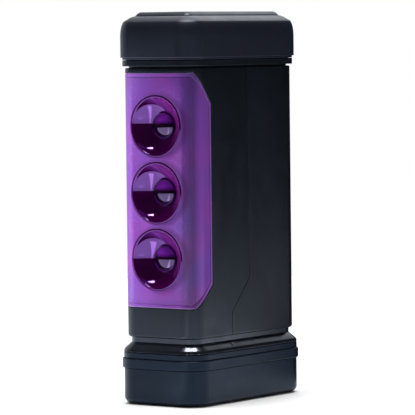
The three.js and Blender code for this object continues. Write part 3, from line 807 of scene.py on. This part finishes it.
def sight_lens(name):
    """A lens with a flat flange and a low polished dome, lying on the floor of a cup."""
    radius = CUP_FLOOR_RADIUS - GAP
    dome_radius = 9 * MM
    rise = 3.5 * MM
    back = GAP - CUP_DEPTH
    flange = back + 1 * MM
    sphere = (dome_radius**2 + rise**2) / (2 * rise)
    edge = math.asin(dome_radius / sphere)
    dome = [
        (sphere * math.sin(angle), flange + rise - sphere * (1 - math.cos(angle)))
        for angle in spread(edge, 0, 20)
    ]
    dome[-1] = (0, flange + rise)
    rim = 0.6 * MM
    ring = [(radius, flange + rim), (radius - rim, flange + rim), (radius - rim, flange)]
    profile = [(0, back), (radius, back), *ring, *dome]
    return soften(turned(f"lens_{name}", profile, cup_centre(name)), 0.2 * MM, 2)


def collar():
    outside = outside_of("collar_ring")
    rim_offset = -0.8 * MM
    return soften(
        hoop(
            "collar",
            [
                (BORE_OFFSET, bottom_of("collar_ring")),
                (NECK_OFFSET, bottom_of("collar_ring")),
                (NECK_OFFSET, COLLAR_BOTTOM),
                (outside, COLLAR_BOTTOM),
                (outside, COLLAR_TOP),
                (rim_offset, COLLAR_TOP),
                (rim_offset, top_of("collar_ring")),
                (BORE_OFFSET, top_of("collar_ring")),
            ],
        ),
        0.45 * MM,
    )


# ---- Base -----------------------------------------------------------------------------------------
def shoulder():
    """The sloping cover of the base, with its neck, the deck inside it and the four screw posts."""
    hole_radius = 1.8 * MM
    post_radius = 4 * MM
    cable_radius = 4 * MM
    overlap = 1 * MM
    outside = outside_of("base_cover")
    skirt_bottom = 24 * MM
    skirt_inside = -2 * MM
    round_radius = 3.6 * MM
    cover = hoop(
        "base_shoulder",
        [
            (skirt_inside, skirt_bottom),
            (SKIRT_OFFSET, skirt_bottom),
            (SKIRT_OFFSET, SHOULDER_BOTTOM),
            (outside, SHOULDER_BOTTOM),
            *arc(outside - round_radius, SHOULDER_BOTTOM + 0.3 * MM, round_radius, 0, 45),
            (NECK_OFFSET, SHOULDER_TOP),
            (NECK_OFFSET, top_of("base_cover")),
            (BORE_OFFSET, top_of("base_cover")),
            (BORE_OFFSET, SHOULDER_TOP - 3 * MM),
            (skirt_inside, SHOULDER_BOTTOM + 1.7 * MM),
        ],
    )
    deck_bottom = 50 * MM
    deck_top = 52 * MM
    deck = block("deck", [(BORE_OFFSET + overlap, deck_bottom), (BORE_OFFSET + overlap, deck_top)])
    cable = middle_of("lamp_cable")
    cut(deck, rod(cable_radius, deck_bottom - overlap, deck_top + overlap, cable.x, cable.y))
    join(cover, deck)
    plate_top = top_of("base_plate")
    hole_top = plate_top + 10 * MM
    for name in SCREWS:
        screw = middle_of(name)
        join(cover, rod(post_radius, plate_top + GAP, deck_bottom + overlap, screw.x, screw.y))
        cut(cover, rod(hole_radius, plate_top, hole_top, screw.x, screw.y))
    return soften(cover, 0.3 * MM)


def shoulder_tick(side):
    """A small raised tick on the sloping shoulder, in line with the seam."""
    outside = outside_of("base_cover")
    half_length = 1.6 * MM
    proud = 0.35 * MM
    low = (outside - 2.2 * MM, SHOULDER_BOTTOM + 3.8 * MM)
    high = (outside - 4.2 * MM, SHOULDER_BOTTOM + 5.6 * MM)
    section = [
        (side * (HALF_WIDTH + offset + lift), z + lift)
        for lift, ends in ((-proud, (low, high)), (proud, (high, low)))
        for offset, z in ends
    ]
    rings = [[(x, y, z) for x, z in section] for y in (SEAM_LOWER - half_length, SEAM_LOWER + half_length)]
    name = "index_tick_right" if side > 0 else "index_tick_left"
    return soften(skin(name, rings, False), 0.15 * MM, 2)


def plain_band(name, node, edge):
    """A hoop of the base that follows one CAD node's height and outside."""
    inside = SKIRT_OFFSET + GAP
    outside = outside_of(node)
    bottom = bottom_of(node)
    top = top_of(node)
    return soften(hoop(name, [(inside, bottom), (outside, bottom), (outside, top), (inside, top)]), edge)


def boot():
    outside = outside_of("base_boot")
    bottom = bottom_of("base_boot")
    top = top_of("base_boot")
    round_radius = 5 * MM
    flange = -6 * MM
    groove_top = top_of("foot_ring") + GAP
    groove_outside = outside_of("foot_ring") + GAP
    inside = SKIRT_OFFSET + 0.4 * MM
    clamp = -8.5 * MM
    clamp_bottom = top_of("base_plate") + GAP
    clamp_top = top_of("base_plate") + 2 * MM
    piece = hoop(
        "boot",
        [
            (flange, groove_top),
            (groove_outside, groove_top),
            (groove_outside, bottom),
            *arc(outside - round_radius, bottom + round_radius, round_radius, -90, 0, 14),
            (outside, top),
            (inside, top),
            (inside, clamp_top + 1 * MM),
            (-2 * MM, clamp_top),
            (clamp, clamp_top),
            (clamp, clamp_bottom),
            (flange, clamp_bottom),
        ],
    )
    cut_rear_holes(piece)
    return soften(piece, 0.35 * MM)


def cut_rear_holes(piece):
    """The holes for the power button, the light pipe and the charging port."""
    slack = 0.8 * MM
    port_corner = 1.9 * MM
    button_radius = 6 * MM + GAP
    pipe_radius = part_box("light_pipe")[1].x + GAP
    port_low, port_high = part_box("charging_port")
    port_width = port_high.x - port_low.x + slack
    port_height = port_high.z - port_low.z + slack
    for radius, x in ((button_radius, middle_of("power_button").x), (pipe_radius, 0)):
        cut(piece, rear_slot(2 * radius, 2 * radius, radius - 0.01 * MM, x))
    cut(piece, rear_slot(port_width, port_height, port_corner, middle_of("charging_port").x))


# ---- Lid ------------------------------------------------------------------------------------------
def lid():
    """A cap with upright walls that round over into a gently sloping shoulder and a low rim.

    The rim stands round the raised plate and hides the gap under it.
    """
    outside = outside_of("lid_shell")
    cover = outside_of("lid_top_cover")
    inner = 0.6 * MM
    round_width = 3.9 * MM
    round_height = 12.3 * MM
    round_bottom = LID_TOP - 15.2 * MM
    rim_top = LID_TOP + 0.6 * MM
    rim_width = 1.2 * MM
    slope_width = 4 * MM
    slope_bottom = LID_TOP - 0.5 * MM
    rounding = [
        (outside - round_width * (1 - math.cos(turn)), round_bottom + round_height * math.sin(turn))
        for turn in spread(0, math.radians(77), 14)
    ]
    shell = block(
        "lid_cap",
        [
            (outside_of("collar_ring"), bottom_of("lid_shell")),
            (outside_of("collar_ring"), LID_EDGE),
            (outside, LID_EDGE),
            *rounding,
            (cover + slope_width, slope_bottom),
            (cover + rim_width, rim_top),
            (cover + GAP, rim_top),
            (cover + GAP, LID_TOP),
        ],
    )
    hollow_round = 6.5 * MM
    hollow = block(
        "cutter",
        [
            (inner, COLLAR_TOP - 1 * MM),
            *arc(inner - hollow_round, LID_TOP - 10 * MM, hollow_round, 0, 90),
        ],
    )
    return soften(cut(shell, hollow), 0.35 * MM)


def lid_cover():
    """The raised plate on top of the lid, with sloping sides."""
    outside = outside_of("lid_top_cover")
    top = top_of("lid_top_cover")
    profile = [
        (outside, bottom_of("lid_top_cover")),
        (outside, top - 2.9 * MM),
        (outside - 2.4 * MM, top - 0.7 * MM),
        (outside - 4.2 * MM, top),
    ]
    return soften(block("lid_plateau", profile), 0.6 * MM)


# ---- Assembly -------------------------------------------------------------------------------------
def finish_piece(piece, material, slot, body, *nodes):
    """Gives a piece its material, unless it has its own, and says what it rides on and replaces."""
    if material:
        piece.data.materials.append(material)
    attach(piece, body)
    if nodes:
        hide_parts(*nodes)


def finish_node(name, material, edge):
    """Gives a carried-over CAD node its material and slightly rounded edges."""
    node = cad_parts[name]
    node.data.materials.clear()
    node.data.materials.append(material)
    soften(node, edge, 2)


def build_pieces():
    body = body_plastic()
    base = base_plastic()
    cap = lid_plastic()
    cup_polish = cup_violet()
    lens_polish = lens_violet()
    finish_piece(front_shell(), body, "body_plastic", "housing", "front_shell")
    finish_piece(rear_shell(), body, "body_plastic", "housing", "rear_shell")
    finish_piece(collar(), body, "body_plastic", "housing", "collar_ring")
    panel = window_panel(window_violet(), window_edge_highlight())
    finish_piece(panel, None, "window_violet", "housing", "window_panel")
    for name in CUPS:
        finish_piece(cup(name), cup_polish, "window_violet", "housing")
        finish_piece(sight_lens(name), lens_polish, "lens_violet", "housing", f"sight_lens_{name}")
    finish_piece(shoulder(), shoulder_plastic(), "base_plastic", "housing", "base_cover")
    tick = button_plastic()
    for side in (-1, 1):
        finish_piece(shoulder_tick(side), tick, "base_plastic", "housing")
    rim = plain_band("upper_band", "rim_band", 0.4 * MM)
    belt = plain_band("middle_band", "base_belt", 0.5 * MM)
    finish_piece(rim, base, "base_plastic", "housing", "rim_band")
    finish_piece(belt, base, "base_plastic", "housing", "base_belt")
    finish_piece(boot(), base, "base_plastic", "housing", "base_boot")
    finish_piece(lid(), cap, "lid_plastic", "lid", "lid_shell")
    finish_piece(lid_cover(), cap, "lid_plastic", "lid", "lid_top_cover")


def finish_nodes():
    groups = [
        (bright_sheet(), 0.3, ("chamber_liner", "lid_liner")),
        (clear_cover(), 0.2, ("lamp_cover", "light_pipe")),
        (led_package(), 0.1, ("uv_led_top", "uv_led_middle", "uv_led_bottom")),
        (circuit_board(), 0.1, ("lamp_board", "control_board")),
        (heat_sink_metal(), 0.1, ("heat_sink",)),
        (cable_jacket(), 0.1, ("lamp_cable",)),
        (inner_plastic(), 0.3, ("base_plate", "lid_sensor", "key_switch")),
        (button_plastic(), 0.5, ("power_button",)),
        (rubber(), 0.3, ("foot_ring", "lid_seal", "rack_grip")),
        (cell_sleeve(), 0.4, ("battery_pack",)),
        (rack_plastic(), 0.4, ("rack_tray", "rack_divider")),
        (steel(), 0.15, ("charging_port", "lid_magnet", *SCREWS)),
    ]
    for material, edge, names in groups:
        for name in names:
            finish_node(name, material, edge * MM)


# ---- Studio ---------------------------------------------------------------------------------------
AZIMUTH = 35.78
PITCH = 3.04
ROLL = 0.66
DISTANCE = 2.5277
LENS = 282.0
AIM_LEFT = 1.89 * MM
AIM_DOWN = 1.9 * MM


def add_camera():
    azimuth = math.radians(AZIMUTH)
    pitch = math.radians(PITCH)
    roll = math.radians(-ROLL)
    right = Vector((math.cos(azimuth), math.sin(azimuth), 0))
    forward = Vector((-math.sin(azimuth), math.cos(azimuth), 0)) * math.cos(pitch)
    forward.z = -math.sin(pitch)
    up = right.cross(forward)
    camera_right = right * math.cos(roll) + up * math.sin(roll)
    camera_up = up * math.cos(roll) - right * math.sin(roll)
    middle = Vector((0, 0, top_of("lid_top_cover") / 2))
    target = middle - right * AIM_LEFT - Vector((0, 0, AIM_DOWN))
    data = bpy.data.cameras.new("camera")
    data.lens = LENS
    data.sensor_width = 36
    camera = bpy.data.objects.new("camera", data)
    turn = Matrix((camera_right, camera_up, -forward)).transposed().to_4x4()
    camera.matrix_world = Matrix.Translation(target - forward * DISTANCE) @ turn
    bpy.context.scene.collection.objects.link(camera)
    bpy.context.scene.camera = camera


def add_floor():
    radius = 1.25
    steps = 128
    mesh = bmesh.new()
    turns = [2 * math.pi * step / steps for step in range(steps)]
    mesh.faces.new([mesh.verts.new((radius * math.cos(t), radius * math.sin(t), 0)) for t in turns])
    floor = to_object("floor", mesh)
    floor.data.materials.append(floor_paint())


def add_black_card():
    """A card on the floor behind the body, seen only in reflections. It keeps the body's far edge dark."""
    height = 1 * MM
    mesh = bmesh.new()
    corners = [(-0.9, 0.12), (0.11, 0.12), (0.82, 1.25), (-0.9, 1.25)]
    mesh.faces.new([mesh.verts.new((x, y, height)) for x, y in corners])
    card = to_object("black_card", mesh)
    black = (0.004, 0.004, 0.004)
    card.data.materials.append(moulded("black_card", black, 0.9, specular=0.0))
    card.visible_camera = False
    card.visible_diffuse = False
    card.visible_shadow = False


def add_softbox(name, place, target, size, power, shine=True, fill=True, turn=0.0):
    """A soft light. Without shine it isn't reflected, and without fill it is only reflected."""
    data = bpy.data.lights.new(name, "AREA")
    data.shape = "RECTANGLE"
    data.size, data.size_y = size
    data.energy = power
    light = bpy.data.objects.new(name, data)
    aim = (Vector(target) - Vector(place)).to_track_quat("-Z", "Y").to_matrix().to_4x4()
    light.matrix_world = Matrix.Translation(place) @ Matrix.Rotation(math.radians(turn), 4, "Z") @ aim
    light.visible_camera = False
    light.visible_glossy = shine
    light.visible_diffuse = fill
    bpy.context.scene.collection.objects.link(light)


def add_surroundings():
    """White behind the object for the camera; for everything else dark, with two soft glows."""
    world = bpy.data.worlds.new("studio")
    world.use_nodes = True
    bpy.context.scene.world = world
    tree = world.node_tree
    tree.nodes.clear()
    place = add_node(tree, "ShaderNodeTexCoord").outputs["Generated"]

    def glow(direction, start, strength):
        inputs = {0: place, 1: Vector(direction).normalized()}
        towards = add_node(tree, "ShaderNodeVectorMath", inputs, operation="DOT_PRODUCT")
        return remap(tree, towards.outputs["Value"], start, 1.0, 0.0, strength)

    dim_light = 0.012
    side_glow = glow((-0.97, 0.25, 0.1), 0.74, 0.85)
    back_glow = glow((-0.32, 0.68, 0.66), 0.885, 3.0)
    strength = maths(tree, "ADD", maths(tree, "ADD", side_glow, back_glow), dim_light)
    seen = add_node(tree, "ShaderNodeBackground", {"Color": (1, 1, 1, 1), "Strength": 1.0})
    felt = add_node(tree, "ShaderNodeBackground", {"Color": (0.93, 0.96, 1, 1), "Strength": strength})
    camera_ray = add_node(tree, "ShaderNodeLightPath").outputs["Is Camera Ray"]
    choices = {0: camera_ray, 1: felt.outputs[0], 2: seen.outputs[0]}
    both = add_node(tree, "ShaderNodeMixShader", choices)
    add_node(tree, "ShaderNodeOutputWorld", {"Surface": both.outputs[0]})


def build_studio():
    """Camera, floor and lights: one light above, two low fills and a streak for the cups to reflect."""
    add_camera()
    add_floor()
    add_surroundings()
    add_black_card()
    add_softbox("overhead", (0, 0, 5), (0, 0, 0), (2.8, 1.25), 345, turn=AZIMUTH)
    streak = Vector((0.24, -0.66, 2 * MM))
    overhead = streak + Vector((0, 0, 1))
    add_softbox("floor_streak", streak, overhead, (0.04, 1.2), 0.36, fill=False, turn=25)
    left = Vector((-0.051, -0.087, 0.163))
    left_corner = Vector((-0.01, -0.07, 0.163))
    add_softbox("left_strip", left, left_corner, (0.02, 0.2), 0.13, shine=False)
    right = Vector((0.40, -0.30, 0.16))
    right_corner = Vector((0.03, -0.06, 0.16))
    add_softbox("right_fill", right, right_corner, (0.1, 0.3), 0.5, shine=False)
    bpy.context.scene.view_settings.view_transform = "Standard"


build_studio()
build_pieces()
finish_nodes()
